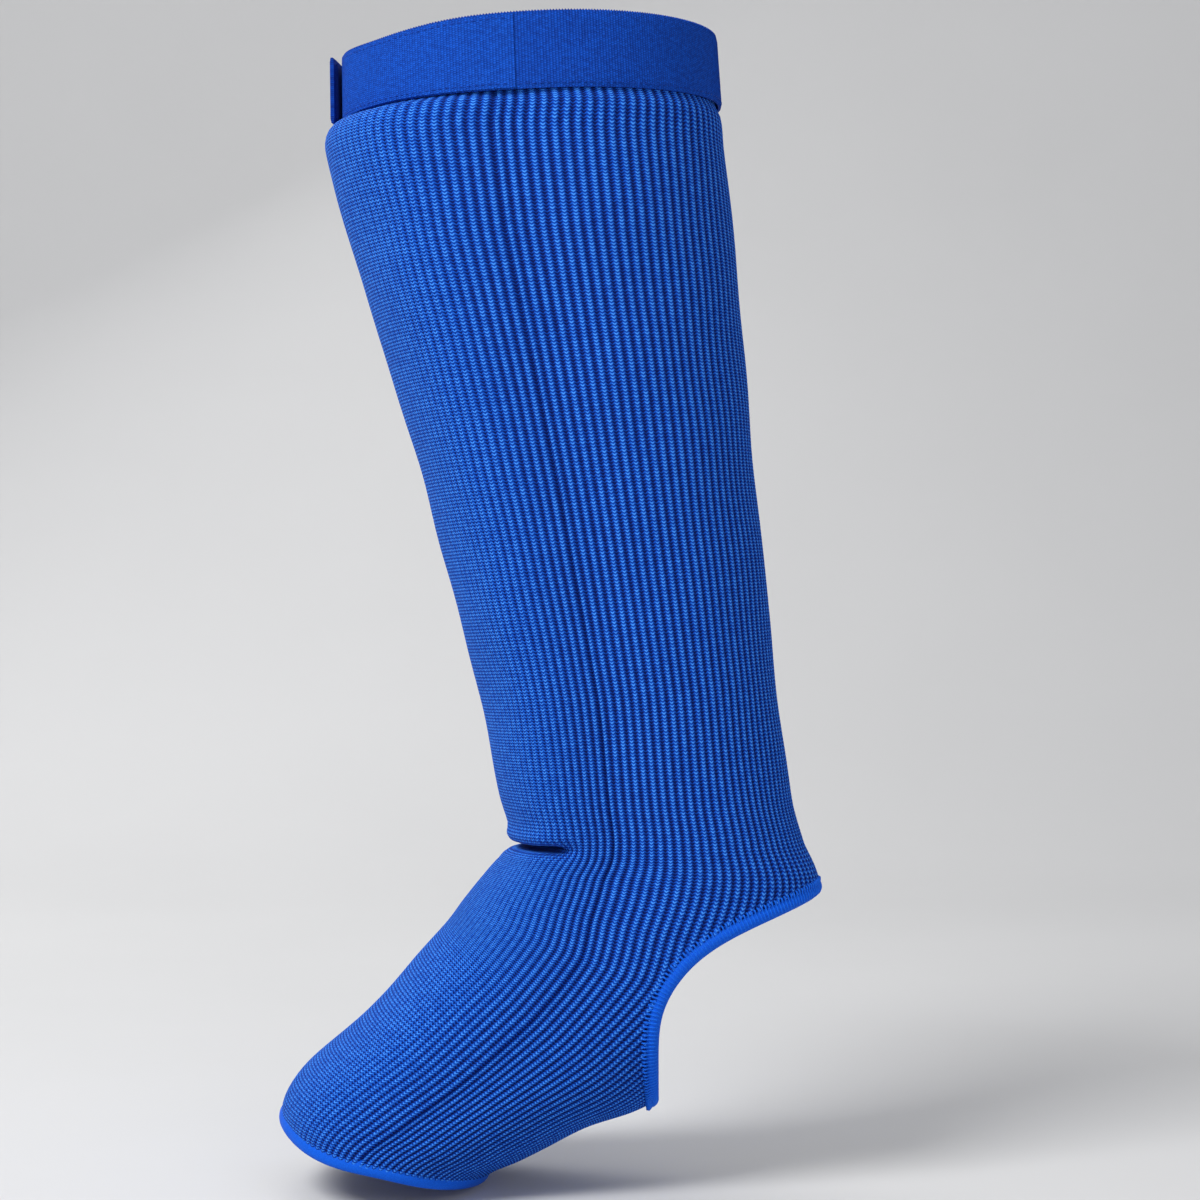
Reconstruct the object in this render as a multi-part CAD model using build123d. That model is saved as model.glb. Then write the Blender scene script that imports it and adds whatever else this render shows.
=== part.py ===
from build123d import *
import os
from math import cos, pi, radians, sin
from typing import NamedTuple

# Slip-on shin and instep guard, left leg, millimetres. The origin is the ankle centre, +Z runs
# up the shin, -X points to the shin and toes, and the XZ plane is the guard's mid-plane.

# Fabric and foam thicknesses
KNIT = 1.8
LINING = 1.0
BAND = 1.6
STRAP = 1.3
HOOK_TAPE = 0.9
LOOP_TAPE = 0.8
LAYER_GAP = 0.25  # air between two layers that lie on each other

# How far round the tube each layer reaches, in degrees from the front mid-line
PAD_FLAT_ANGLE = 45
PAD_FADE_ANGLE = 90
PAD_EDGE_ANGLE = 76
SEAM_ANGLE = 80
LINING_ANGLE = 88
STRAP_FREE_ANGLE = -6
STRAP_ROOT_ANGLE = 64
STRAP_SEWN_ANGLE = 98
STRAP_SPLIT = 1  # between the end that peels and the end sewn down
HOOK_ANGLES = (-2, 44)
LOOP_ANGLES = (-84, 50)
LOOP_SEAM_ANGLES = (-80, -10)  # only where the strap doesn't cover the tape
STRAP_BOX_ANGLES = (70, 94)
BAND_SEAM_REACH = 178

# The closure strips, as fractions of the top band's height
STRIP_LOW = 0.22
STRIP_HIGH = 0.96
TAPE_INSET = 0.06
BAND_SEAM_SHARE = 0.1

# Edge bindings and sewing thread
BINDING_RADIUS = 2.1
TOE_ELASTIC_RADIUS = 0.9
THREAD_RADIUS = 0.3
THREAD_CLEARANCE = 0.15
SEAM_CLEARANCE = 0.45  # over the knit's tight curves beside the pads
STITCH_LENGTH = 3.2
STITCH_PITCH = 5.6
BOX_STITCH_PITCH = 4.5
SEAM_END_GAP = 0.15  # of a station's spacing, from a seam's last stitch to the end of its piece
OVERLOCK_LOOPS = 64

# Tube layers: how far each surface stands off the leg, and whether the pad lifts it
KNIT_INSIDE = LINING + 2 * LAYER_GAP
KNIT_OUTSIDE = KNIT_INSIDE + KNIT
PAD_INSIDE = LINING + LAYER_GAP

SECTION_POINTS = 24
ANGLE_STEP = 10  # degrees between the points of a strip's cross-section or of a row round the band
SEAM_POINTS = 6  # per station's spacing, along a seam down the tube
EDGE_POINTS = 12  # along a cutter that follows a bound edge
HALVINGS = 50  # when a place or angle is searched for
STEP = 0.5  # of the distance between two stations, from one section of a loft to the next
SIDE_REACH = 90  # past the guard's widest point on both sides


class Station(NamedTuple):
    """One cross-section of the tube: its outer points on the mid-plane (X, Z), half width and padding."""

    front: tuple
    back: tuple
    half_width: float
    pad: float


TUBE = [
    Station((-122.8, 288), (13.0, 291), 56.6, 4),  # knit edge inside the top band
    Station((-123.1, 273.4), (13.4, 280), 56.8, 5),  # just below the band
    Station((-129.6, 270), (15.6, 274.5), 58.3, 11),
    Station((-131.8, 263), (16.7, 264.5), 58.5, 13),  # top bulge of the shin pad
    Station((-121.6, 228), (19.9, 232), 57.5, 13.5),
    Station((-95.2, 143), (27.2, 150), 51, 13.5),
    Station((-74, 61), (35.7, 68), 43, 13.5),
    Station((-66.9, 26), (41, 27), 39.5, 13),
    Station((-63, 11.5), (46, 9), 38.5, 9),
    Station((-48, 4.5), (51.7, -8), 38.5, 0),  # ankle crease to the top of the heel opening
    Station((-67.5, -3), (42, -34), 39.5, 6),
    Station((-77, -11), (30, -56), 40.5, 9),
    Station((-89.5, -24.3), (-6, -85.5), 42.5, 10),  # instep to the front of the heel opening
    Station((-116.6, -54), (-35, -96.8), 47, 10),
    Station((-139, -73.7), (-58, -108.2), 50, 9),
    Station((-147.8, -88), (-70, -113), 49.5, 5),  # toe end
    Station((-146.4, -101), (-81, -121.5), 47, 2),
]
KNIT_TOP, SHIN_PAD_TOP, LEG_END, SHIN_PAD_END, CREASE = 0, 1.5, 7, 8, 9
INSTEP_PAD_TOP, FOOT_START, INSTEP_PAD_END, TUBE_END = 11, 12, 14.5, 16

BAND_LOW = Station((-124.9, 274.5), (15.4, 281.3), 58.9, 5)
BAND_HIGH = Station((-125.2, 299.5), (13.6, 306.8), 59.6, 5)


class BoundEdge(NamedTuple):
    """A bound edge in side view: (place, angle) where it starts and ends, and (X, Z) points between."""

    start: tuple
    way: list
    end: tuple


HEEL_EDGE = BoundEdge((CREASE, 180), [(28, -16.2), (1.5, -32), (-10, -54)], (FOOT_START + 0.1, 180))
TOE_EDGE = BoundEdge((15.3, 0), [(-130, -98.5), (-105, -105)], (15.1, 180))
HEEL_CUT_REACH = 45  # how far past the edge's ends the material is cut away
TOE_CUT_REACH = 30


# ---------------------------------------------------------------- the tube's shape


def mixed(first, second, share):
    """The station that lies a share of the way from one station to another."""

    def mix(a, b):
        return a + (b - a) * share

    return Station(
        tuple(map(mix, first.front, second.front)),
        tuple(map(mix, first.back, second.back)),
        mix(first.half_width, second.half_width),
        mix(first.pad, second.pad),
    )


def values(station):
    return (*station.front, *station.back, station.half_width, station.pad)


def span_length(first, second):
    """Mean distance between two stations at the front and the back."""
    front = (Vector(*first.front) - Vector(*second.front)).length
    back = (Vector(*first.back) - Vector(*second.back)).length
    return (front + back) / 2


def station_at(place):
    """The tube's cross-section at a place counted in stations, on a cubic curve through all of them."""
    index = min(int(place), len(TUBE) - 2)
    share = place - index
    here, there = TUBE[index], TUBE[index + 1]
    before = TUBE[max(index - 1, 0)]
    after = TUBE[min(index + 2, len(TUBE) - 1)]
    length = span_length(here, there)
    length_in = length + (span_length(before, here) if index else 0)
    length_out = length + (span_length(there, after) if after is not there else 0)
    result = []
    for v0, v1, v2, v3 in zip(*map(values, (before, here, there, after))):
        slope_in = (v2 - v0) / length_in * length
        slope_out = (v3 - v1) / length_out * length
        bend = 2 * (v1 - v2) + slope_in + slope_out
        rise = 3 * (v2 - v1) - 2 * slope_in - slope_out
        result.append(v1 + share * (slope_in + share * (rise + share * bend)))
    return Station((result[0], result[1]), (result[2], result[3]), result[4], max(result[5], 0))


def padding_share(angle):
    """How much of the pad's full thickness is left at an angle from the front."""
    fade = (abs(angle) - PAD_FLAT_ANGLE) / (PAD_FADE_ANGLE - PAD_FLAT_ANGLE)
    fade = min(max(fade, 0), 1)
    return 1 - fade * fade * (3 - 2 * fade)


def surface_point(station, angle, lift, padded):
    """A point at an angle round a station, lifted off the leg, on or under the pad."""
    front = Vector(station.front[0], 0, station.front[1])
    back = Vector(station.back[0], 0, station.back[1])
    across = (back - front).normalized()
    depth = ((back - front).length - 2 * KNIT_OUTSIDE - station.pad) / 2
    width = station.half_width - KNIT_OUTSIDE
    centre = front + across * (station.pad + KNIT_OUTSIDE + depth)
    turn = radians(angle)
    normal = Vector(-cos(turn) / depth, sin(turn) / width).normalized()
    height = lift + (station.pad * padding_share(angle) if padded else 0)
    along = -depth * cos(turn) + normal.X * height
    aside = width * sin(turn) + normal.Y * height
    return centre + across * along + Vector(0, aside, 0)


def tube_point(place, angle, lift):
    """A point on a layer of the tube, on the straight line between the two nearest sections."""
    below = min(place // STEP * STEP, TUBE_END - STEP)
    low, high = (surface_point(station_at(p), angle, lift, True) for p in (below, below + STEP))
    return low + (high - low) * ((place - below) / STEP)


def between(first, last, count):
    """Evenly spaced numbers from first to last."""
    return [first + (last - first) * i / (count - 1) for i in range(count)]


def ring_wire(station, lift, padded):
    """A closed cross-section all the way round a station."""
    turns = [360 * i / SECTION_POINTS for i in range(SECTION_POINTS)]
    points = [surface_point(station, turn, lift, padded) for turn in turns_signed(turns)]
    return Wire([Edge.make_spline(points, periodic=True)])


def turns_signed(turns):
    """Angles from -180 to 180 for turns counted from 0 to 360."""
    return [turn if turn <= 180 else turn - 360 for turn in turns]


def angles_between(start, end):
    """Evenly spaced angles from start to end, about ANGLE_STEP apart."""
    return between(start, end, max(4, round(abs(end - start) / ANGLE_STEP)))


def strip_wire(station, start, end, under, over):
    """A cross-section from one angle to another between two (lift, padded) layers."""
    angles = angles_between(start, end)
    outer = [surface_point(station, angle, *over) for angle in angles]
    inner = [surface_point(station, angle, *under) for angle in angles]
    sides = [Edge.make_line(outer[-1], inner[-1]), Edge.make_line(inner[0], outer[0])]
    return Wire([Edge.make_spline(outer), Edge.make_spline(inner), *sides])


def stations_along(start, end):
    """The tube's cross-sections from one place to another, where every loft takes a section."""
    count = round((end - start) / STEP)
    return [station_at(start + i * STEP) for i in range(count + 1)]


def tube_shell(start, end):
    """The knit between two places along the tube."""
    outer, inner = (
        Solid.make_loft([ring_wire(s, lift, True) for s in stations_along(start, end)], ruled=True)
        for lift in (KNIT_OUTSIDE, KNIT_INSIDE)
    )
    return outer - inner


def strip_on_tube(start, end, reach, under, over):
    """A layer on the tube's front between two places, reaching equally far round both sides."""
    sections = [strip_wire(s, -reach, reach, under, over) for s in stations_along(start, end)]
    return Solid.make_loft(sections, ruled=True)


# ---------------------------------------------------------------- bound edges and cutters


def side_view_place(x, z, first, last):
    """The place along the tube whose cross-section line runs through (X, Z) in side view."""

    def side(place):
        station = station_at(place)
        (fx, fz), (bx, bz) = station.front, station.back
        return (bx - fx) * (z - fz) - (bz - fz) * (x - fx)

    rising = side(last) > side(first)
    for _ in range(HALVINGS):
        middle = (first + last) / 2
        if (side(middle) > 0) == rising:
            last = middle
        else:
            first = middle
    return middle


def side_view_angle(place, x, z, lift):
    """The angle round the tube at which a layer shows at (X, Z) in side view."""
    station = station_at(place)
    across = Vector(station.back[0] - station.front[0], station.back[1] - station.front[1])
    low, high = 0, 180
    for _ in range(HALVINGS):
        middle = (low + high) / 2
        point = tube_point(place, middle, lift)
        if Vector(point.X - x, point.Z - z).dot(across) < 0:
            low = middle
        else:
            high = middle
    return middle


def side_view_curve(edge):
    """A bound edge's centreline in the mid-plane."""
    way = [Vector(x, 0, z) for x, z in edge.way]
    lift = KNIT_OUTSIDE - KNIT / 2
    return Spline([tube_point(*edge.start, lift), *way, tube_point(*edge.end, lift)])


def edge_loop(edge, first, last, count):
    """Points and outward normals round the tube along a bound edge, and back on the other side."""
    lift = KNIT_OUTSIDE - KNIT / 2
    curve = side_view_curve(edge)
    half = [edge.start]
    for i in range(1, count):
        at = curve.position_at((1 - cos(pi * i / count)) / 2)
        place = side_view_place(at.X, at.Z, first, last)
        angle = side_view_angle(place, at.X, at.Z, lift)
        half.append((place, angle))
    half.append(edge.end)
    loop = half + [(place, -angle) for place, angle in half[-2:0:-1]]
    points = [tube_point(place, angle, lift) for place, angle in loop]
    lifted = [tube_point(place, angle, lift + 1) for place, angle in loop]
    return points, [(b - a).normalized() for a, b in zip(points, lifted)]


def edge_cutter(edge, reach, toward):
    """Everything past a bound edge, cut back far enough to clear its binding."""
    clear = BINDING_RADIUS + LAYER_GAP
    curve = side_view_curve(edge)
    shifted = []
    for share in between(0, 1, EDGE_POINTS):
        tangent = curve.tangent_at(share)
        shifted.append(curve.position_at(share) + Vector(tangent.Z, 0, -tangent.X) * clear * toward)
    start = shifted[0] - curve.tangent_at(0) * reach
    end = shifted[-1] + curve.tangent_at(1) * reach
    beyond = Vector(curve.tangent_at(0.5).Z, 0, -curve.tangent_at(0.5).X) * -toward * reach
    outline_edges = [
        Edge.make_line(start, shifted[0]),
        Edge.make_spline(shifted),
        Edge.make_line(shifted[-1], end),
        Edge.make_line(end, end + beyond),
        Edge.make_line(end + beyond, start + beyond),
        Edge.make_line(start + beyond, start),
    ]
    face = Face(Wire(outline_edges))
    return extrude(face, SIDE_REACH, dir=(0, 1, 0)) + extrude(face, SIDE_REACH, dir=(0, -1, 0))


def loop_tangent(points, index):
    """The direction of a closed loop of points at one of them."""
    return (points[(index + 1) % len(points)] - points[index - 1]).normalized()


def cord(loop, radius):
    """A round cord along a closed loop of points that is the same on both sides of the mid-plane."""
    points, normals = loop
    circles = []
    for i in range(len(points) // 2 + 1):
        plane = Plane(origin=points[i], x_dir=normals[i], z_dir=loop_tangent(points, i))
        circles.append(Wire.make_circle(radius, plane))
    half = Solid.make_loft(circles, ruled=True)
    return half + half.mirror(Plane.XZ)


# ---------------------------------------------------------------- sewing thread


def stitch(start, end):
    """One straight thread from start to end."""
    line = end - start
    plane = Plane(origin=start, z_dir=line.normalized())
    return Solid.make_cylinder(THREAD_RADIUS, line.length, plane)


def stitch_row(points, pitch=STITCH_PITCH):
    """Threads laid end to end with gaps along a row of closely spaced points."""
    path = Spline(points)
    count = int(path.length // pitch)
    half = STITCH_LENGTH / 2 / path.length
    middles = [(i + 0.5) / count for i in range(count)]
    return [stitch(path.position_at(m - half), path.position_at(m + half)) for m in middles]


def pocket_seam(start, end):
    """The side seams that close the pad pocket, on both sides of the tube."""
    lift = KNIT_OUTSIDE + THREAD_RADIUS + SEAM_CLEARANCE
    threads = []
    for side in (-1, 1):
        places = between(start, end, int((end - start) * SEAM_POINTS))
        threads += stitch_row([tube_point(p, side * SEAM_ANGLE, lift) for p in places])
    return threads


# ---------------------------------------------------------------- closure on the top band


def band_station(share):
    return mixed(BAND_LOW, BAND_HIGH, share)


def band_strip(angles, shares, start, thickness):
    """A strip on the outside of the top band, starting a height above its surface."""
    under = (KNIT_OUTSIDE + start, True)
    over = (KNIT_OUTSIDE + start + thickness, True)
    sections = [strip_wire(band_station(share), *angles, under, over) for share in shares]
    return Solid.make_loft(sections, ruled=True)


def band_point(angle, share, above):
    return surface_point(band_station(share), angle, KNIT_OUTSIDE + above, True)


LOOP_START = LAYER_GAP
HOOK_START = LOOP_START + LOOP_TAPE + LAYER_GAP
STRAP_START = HOOK_START + HOOK_TAPE + LAYER_GAP
STRIP = (STRIP_LOW, STRIP_HIGH)
TAPE = (STRIP_LOW + TAPE_INSET, STRIP_HIGH - TAPE_INSET)


def top_band():
    """The woven elastic that closes the sleeve's top edge."""
    outer = [ring_wire(s, KNIT_OUTSIDE, True) for s in (BAND_LOW, BAND_HIGH)]
    inner = [ring_wire(s, KNIT_OUTSIDE - BAND, True) for s in (BAND_LOW, BAND_HIGH)]
    return Solid.make_loft(outer, ruled=True) - Solid.make_loft(inner, ruled=True)


def tape_stitches(angles, above):
    """A row of threads near the top and the bottom of a tape on the band."""
    threads = []
    for share in (TAPE[0] + TAPE_INSET, TAPE[1] - TAPE_INSET):
        lift = above + THREAD_CLEARANCE + THREAD_RADIUS
        threads += stitch_row([band_point(turn, share, lift) for turn in angles_between(*angles)])
    return threads


def band_seam():
    """The row that sews the top band to the knit, just above its lower edge."""
    above = THREAD_CLEARANCE + THREAD_RADIUS
    turns = angles_between(-BAND_SEAM_REACH, BAND_SEAM_REACH)
    return stitch_row([band_point(turn, BAND_SEAM_SHARE, above) for turn in turns])


def strap_box():
    """Upright threads where the strap is sewn down on the band."""
    above = LAYER_GAP + STRAP + THREAD_CLEARANCE + THREAD_RADIUS
    threads = []
    for angle in STRAP_BOX_ANGLES:
        threads += stitch_row([band_point(angle, s, above) for s in between(*TAPE, 5)], BOX_STITCH_PITCH)
    return threads


# ---------------------------------------------------------------- the guard


def overlock(points, normals):
    """Thread loops that wrap the heel binding from its outside over the free edge to its inside."""
    wrap = BINDING_RADIUS + THREAD_CLEARANCE + THREAD_RADIUS
    loops = []
    for i, (at, normal) in enumerate(zip(points, normals)):
        plane = Plane(origin=at, x_dir=normal, z_dir=loop_tangent(points, i))
        loops.append(Solid.make_torus(wrap, THREAD_RADIUS, plane, major_angle=180))
    return loops


def knit_pieces():
    """The rib-knit tube, parted where the ankle starts and where the foot starts."""
    heel_cutter = edge_cutter(HEEL_EDGE, HEEL_CUT_REACH, 1)
    leg = tube_shell(KNIT_TOP, LEG_END)
    ankle = tube_shell(LEG_END, FOOT_START) - heel_cutter
    foot = tube_shell(FOOT_START, TUBE_END) - heel_cutter - edge_cutter(TOE_EDGE, TOE_CUT_REACH, -1)
    return leg, ankle, foot


def padded_pocket(start, end):
    """A foam pad and the lining behind it."""
    foam = strip_on_tube(start, end, PAD_EDGE_ANGLE, (PAD_INSIDE, False), (PAD_INSIDE, True))
    lining = strip_on_tube(start - STEP, end + STEP, LINING_ANGLE, (0, False), (LINING, False))
    return foam, lining


def build():
    """Every node of the guard by name."""
    leg, ankle, foot = knit_pieces()
    shin_pad, shin_lining = padded_pocket(SHIN_PAD_TOP, SHIN_PAD_END)
    instep_pad, instep_lining = padded_pocket(INSTEP_PAD_TOP, INSTEP_PAD_END)
    heel_loop = edge_loop(HEEL_EDGE, CREASE - 0.5, FOOT_START + 1, OVERLOCK_LOOPS // 2)
    toe_loop = edge_loop(TOE_EDGE, FOOT_START + 1, TUBE_END, OVERLOCK_LOOPS // 4)
    tape_top = HOOK_START - LAYER_GAP
    return {
        "leg_sleeve": leg,
        "ankle_knit": ankle,
        "foot_sleeve": foot,
        "shin_pad": shin_pad,
        "shin_lining": shin_lining,
        "instep_pad": instep_pad,
        "instep_lining": instep_lining,
        "heel_binding": cord(heel_loop, BINDING_RADIUS),
        "heel_overlock": Compound(overlock(*heel_loop)),
        "toe_binding": cord(toe_loop, BINDING_RADIUS) - cord(toe_loop, TOE_ELASTIC_RADIUS + LAYER_GAP),
        "toe_elastic": cord(toe_loop, TOE_ELASTIC_RADIUS),
        "top_band": top_band(),
        "loop_tape": band_strip(LOOP_ANGLES, TAPE, LOOP_START, LOOP_TAPE),
        "hook_tape": band_strip(HOOK_ANGLES, TAPE, HOOK_START, HOOK_TAPE),
        "strap_tab": band_strip((STRAP_FREE_ANGLE, STRAP_ROOT_ANGLE), STRIP, STRAP_START, STRAP),
        "strap_root": band_strip((STRAP_ROOT_ANGLE + STRAP_SPLIT, STRAP_SEWN_ANGLE), STRIP, LAYER_GAP, STRAP),
        "band_seam_thread": Compound(band_seam()),
        "strap_root_thread": Compound(strap_box()),
        "hook_tape_thread": Compound(tape_stitches(HOOK_ANGLES, STRAP_START + STRAP)),
        "loop_tape_thread": Compound(tape_stitches(LOOP_SEAM_ANGLES, tape_top)),
        "shin_pocket_thread": Compound(pocket_seam(SHIN_PAD_TOP, LEG_END - SEAM_END_GAP)),
        "ankle_pocket_thread": Compound(pocket_seam(LEG_END + SEAM_END_GAP, FOOT_START - SEAM_END_GAP)),
        "instep_pocket_thread": Compound(
            pocket_seam(FOOT_START + SEAM_END_GAP, INSTEP_PAD_END - SEAM_END_GAP)
        ),
    }


if __name__ == "__main__":
    os.makedirs("parts", exist_ok=True)
    for name, shape in build().items():
        export_step(shape, f"parts/{name}.step")
        print(name, len(shape.solids()), round(shape.volume), shape.is_valid)
    hinge = [band_point(STRAP_ROOT_ANGLE, s, STRAP_START + STRAP / 2) for s in (0, 1)]
    print("strap hinge", hinge)
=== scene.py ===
from math import cos, pi, radians, sin

import bmesh
import bpy
import numpy as np
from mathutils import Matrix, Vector


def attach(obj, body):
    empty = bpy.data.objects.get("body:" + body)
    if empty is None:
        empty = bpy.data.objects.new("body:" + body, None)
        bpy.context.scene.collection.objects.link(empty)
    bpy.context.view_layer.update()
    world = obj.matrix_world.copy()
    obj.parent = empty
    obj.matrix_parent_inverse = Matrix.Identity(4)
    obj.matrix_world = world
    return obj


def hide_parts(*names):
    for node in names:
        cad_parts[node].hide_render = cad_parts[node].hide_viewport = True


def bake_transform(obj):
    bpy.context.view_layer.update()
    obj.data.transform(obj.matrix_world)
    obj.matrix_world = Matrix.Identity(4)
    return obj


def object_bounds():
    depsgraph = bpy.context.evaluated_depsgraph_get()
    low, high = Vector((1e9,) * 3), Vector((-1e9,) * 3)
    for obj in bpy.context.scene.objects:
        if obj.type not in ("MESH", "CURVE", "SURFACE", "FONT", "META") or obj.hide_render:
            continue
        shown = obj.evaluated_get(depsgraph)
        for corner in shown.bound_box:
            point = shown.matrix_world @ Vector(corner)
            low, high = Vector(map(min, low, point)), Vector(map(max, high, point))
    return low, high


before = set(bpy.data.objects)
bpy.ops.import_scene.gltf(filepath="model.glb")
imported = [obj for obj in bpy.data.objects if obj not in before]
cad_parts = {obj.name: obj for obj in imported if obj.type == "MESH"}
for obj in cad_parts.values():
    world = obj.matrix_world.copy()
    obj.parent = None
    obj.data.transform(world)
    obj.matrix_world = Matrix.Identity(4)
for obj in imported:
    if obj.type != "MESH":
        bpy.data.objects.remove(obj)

CAD_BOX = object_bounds()
MM = 0.001
SEED = 7
HALVINGS = 40  # when a place or an angle is searched for
BLOCK = 20000  # points compared with a curve at once

# Layers of the guard in millimetres, as in the CAD frame
KNIT = 1.8
LINING = 1.0
GAP = 0.25
KNIT_OUTSIDE = LINING + 2 * GAP + KNIT
KNIT_INSIDE = LINING + 2 * GAP
PAD_INSIDE = LINING + GAP
BAND = 1.6

# Angles round the tube are counted from the front mid-line, with the pocket seams at 80 degrees.
# Down the leg the seams swing towards the front, and everything else round the tube with them.
SEAM_ANGLE = 80
PAD_FLAT_ANGLE = 42
PAD_FADE_ANGLE = 92
PAD_EDGE_ANGLE = 74
LINING_ANGLE = 88
SEAM_SWING = np.array([78, 78, 78, 77, 74, 71, 69, 66, 64, 64, 68, 73, 77, 79, 80, 80, 80], float)

# Cross-sections down the tube: outer front (X, Z), outer back (X, Z), half width, padding
TUBE = np.array([
    (-122.8, 288, 13.0, 291, 56.6, 4),  # knit edge inside the top band
    (-123.2, 275, 13.7, 281.6, 57.1, 5),  # just below the band
    (-130.1, 272, 15.9, 276.5, 58.6, 11),
    (-131.9, 264, 16.7, 265, 58.6, 13),  # top bulge of the shin pad
    (-121.6, 228, 19.9, 232, 57.5, 13.5),
    (-95.2, 143, 27.2, 150, 51, 13.5),
    (-74, 61, 35.7, 68, 43, 13.5),
    (-66.9, 26, 41, 27, 39.5, 13),
    (-62.8, 8, 45.9, 9.5, 38.5, 11),  # ankle crease
    (-69.4, 1.2, 51.7, -8, 38.5, 10.5),  # instep to the top of the heel opening
    (-75.6, -6.4, 42, -34, 39.5, 10),
    (-80.6, -12.8, 30, -56, 40.5, 10),
    (-89.5, -24.3, -6, -85.5, 42.5, 10),  # instep to the front of the heel opening
    (-116.6, -54, -35, -96.8, 47, 10),
    (-139, -73.7, -58, -108.2, 50, 9),
    (-147.8, -88, -70, -113, 49.5, 5),  # toe end
    (-144, -100.5, -81, -121.5, 47, 2),
], float)
LEG_END, CREASE, HEEL_TOP, FOOT_START, TUBE_END = 7, 8, 9, 12, 16

# Bound edges in side view: (place, angle) at the ends and (X, Z) points between
HEEL_EDGE = (
    (HEEL_TOP, 180),
    [(28, -16.2), (1.5, -31.5), (-9.5, -49), (-11, -66)],
    (FOOT_START + 0.1, 180),
)
TOE_EDGE = ((15.2, 0), [(-131, -98.2), (-106, -104), (-89, -109)], (15.1, 180))
HEEL_HALF_WIDTH = 2.5
HEM_HALF_WIDTH = 2.8
BINDING_HALF_HEIGHT = 1.55
BINDING_SIDES = 18
BINDING_POINTS = 260
ELASTIC_RADIUS = 0.9
ELASTIC_SIDES = 10
BORE_SHARE = 1.1  # the hem's bore against the cord in it
OVERLOCK_THREADS = 210
OVERLOCK_START = -0.6  # of the binding's half width, past its middle on the open side
OVERLOCK_REACH = 1.6  # past the binding, on to the knit
OVERLOCK_POINTS = 12
OVERLOCK_RADII = (0.15, 0.36)  # at the open side, and from the middle on
THREAD_GAP = 0.05
THREAD_SIDES = 6

# The fold across the front of the ankle
CREASE_DEPTH = 14
CREASE_HALF_WIDTH = (0.9, 3.2)  # at the front, and where the fold ends in a pit at the side
CREASE_LIP = 1.5
CREASE_LIP_PLACE = (4, 2.5)  # how far from the fold each lip is, and its half width
CREASE_FADE = (32, 68)  # degrees from the front, on the scale where the seams are at 80

# Knit gauge
RIBS = 104
RIB_STEPS = 6  # mesh columns in one rib
COURSE = 1.2  # millimetres from one row of stitches to the next
COURSES_PER_ROW = 2  # mesh rows are this many courses apart
CREASE_COURSES_PER_ROW = 0.27
CREASE_PLACES = (7.65, 8.4)
RIB_RELIEF = 0.7
FRONT_RELIEF = 0.22  # share of the relief left where the pad stretches the knit flat
RELIEF_ANGLES = (30, 80)  # the relief grows from that share to full between these
GAUGE_PLACE = 4.5  # the ribs are equally wide all round the calf here
SEAM_DIP = 1.1  # depth of the valley along a pocket seam
SEAM_DIP_RIBS = 0.5  # its half width
CUT_FREE = (0.3, 60)  # places above the heel edge, and degrees from the front, that it never cuts

# The pockets: places where foam and linings begin and end, and how a lining closes on the knit
SHIN_FOAM = (1.7, 7.75)
INSTEP_FOAM = (10, 14.5)
SHIN_LINING = (1, 7.85)
INSTEP_LINING = (9, 15)
SHIN_LINING_TURNS = (0.6, 0.05)
INSTEP_LINING_TURNS = (0.9, 0.45)
LAYER_ROWS, LAYER_COLUMNS = 90, 70

# Pocket seams: threads in the valley
SEAM_PITCH, SEAM_LENGTH, SEAM_RADIUS = 3.0, 2.3, 0.22
SEAM_LIFT = -0.8  # against the knit's outside
STITCH_SHAPE = (0.6, 1, 1, 1, 1, 0.6)  # share of a thread's radius along it
STITCH_ARCH, STITCH_SINK = 0.3, 0.25

# Slow waves of soft fabric
SOFT_WAVES = 14
SOFT_LENGTHS = (28, 90)
SOFT_HEIGHT = 0.12


# ---------------------------------------------------------------- the tube's shape


def span_lengths():
    front = np.hypot(np.diff(TUBE[:, 0]), np.diff(TUBE[:, 1]))
    back = np.hypot(np.diff(TUBE[:, 2]), np.diff(TUBE[:, 3]))
    return (front + back) / 2


SPANS = span_lengths()
COURSE_AT = np.concatenate([[0], np.cumsum(SPANS)]) / COURSE


def stations(place):
    """The tube's cross-sections at places counted in stations, on a cubic curve through all of them."""
    place = np.asarray(place, float)
    last = len(TUBE) - 1
    index = np.clip(np.floor(place).astype(int), 0, last - 1)
    share = (place - index)[..., None]
    before, after = np.clip(index - 1, 0, last), np.clip(index + 2, 0, last)
    length = SPANS[index][..., None]
    first = np.where(index > 0, SPANS[np.maximum(index - 1, 0)], 0)[..., None]
    final = np.where(index + 2 <= last, SPANS[np.minimum(index + 1, last - 1)], 0)[..., None]
    v0, v1, v2, v3 = TUBE[before], TUBE[index], TUBE[index + 1], TUBE[after]
    slope_in = (v2 - v0) / (length + first) * length
    slope_out = (v3 - v1) / (length + final) * length
    bend = 2 * (v1 - v2) + slope_in + slope_out
    rise = 3 * (v2 - v1) - 2 * slope_in - slope_out
    result = v1 + share * (slope_in + share * (rise + share * bend))
    result[..., 5] = np.maximum(result[..., 5], 0)
    return result


def swung(place, angle):
    """True angles round the tube, stretched so that the pocket seams follow their swing."""
    seam = np.interp(place, np.arange(len(SEAM_SWING)), SEAM_SWING)
    size = np.abs(angle)
    behind = 180 - (180 - size) * (180 - seam) / (180 - SEAM_ANGLE)
    return np.sign(angle) * np.where(size <= SEAM_ANGLE, size * seam / SEAM_ANGLE, behind)


def padding_share(angle):
    fade = (np.abs(angle) - PAD_FLAT_ANGLE) / (PAD_FADE_ANGLE - PAD_FLAT_ANGLE)
    fade = np.clip(fade, 0, 1)
    return 1 - fade * fade * (3 - 2 * fade)


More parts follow.
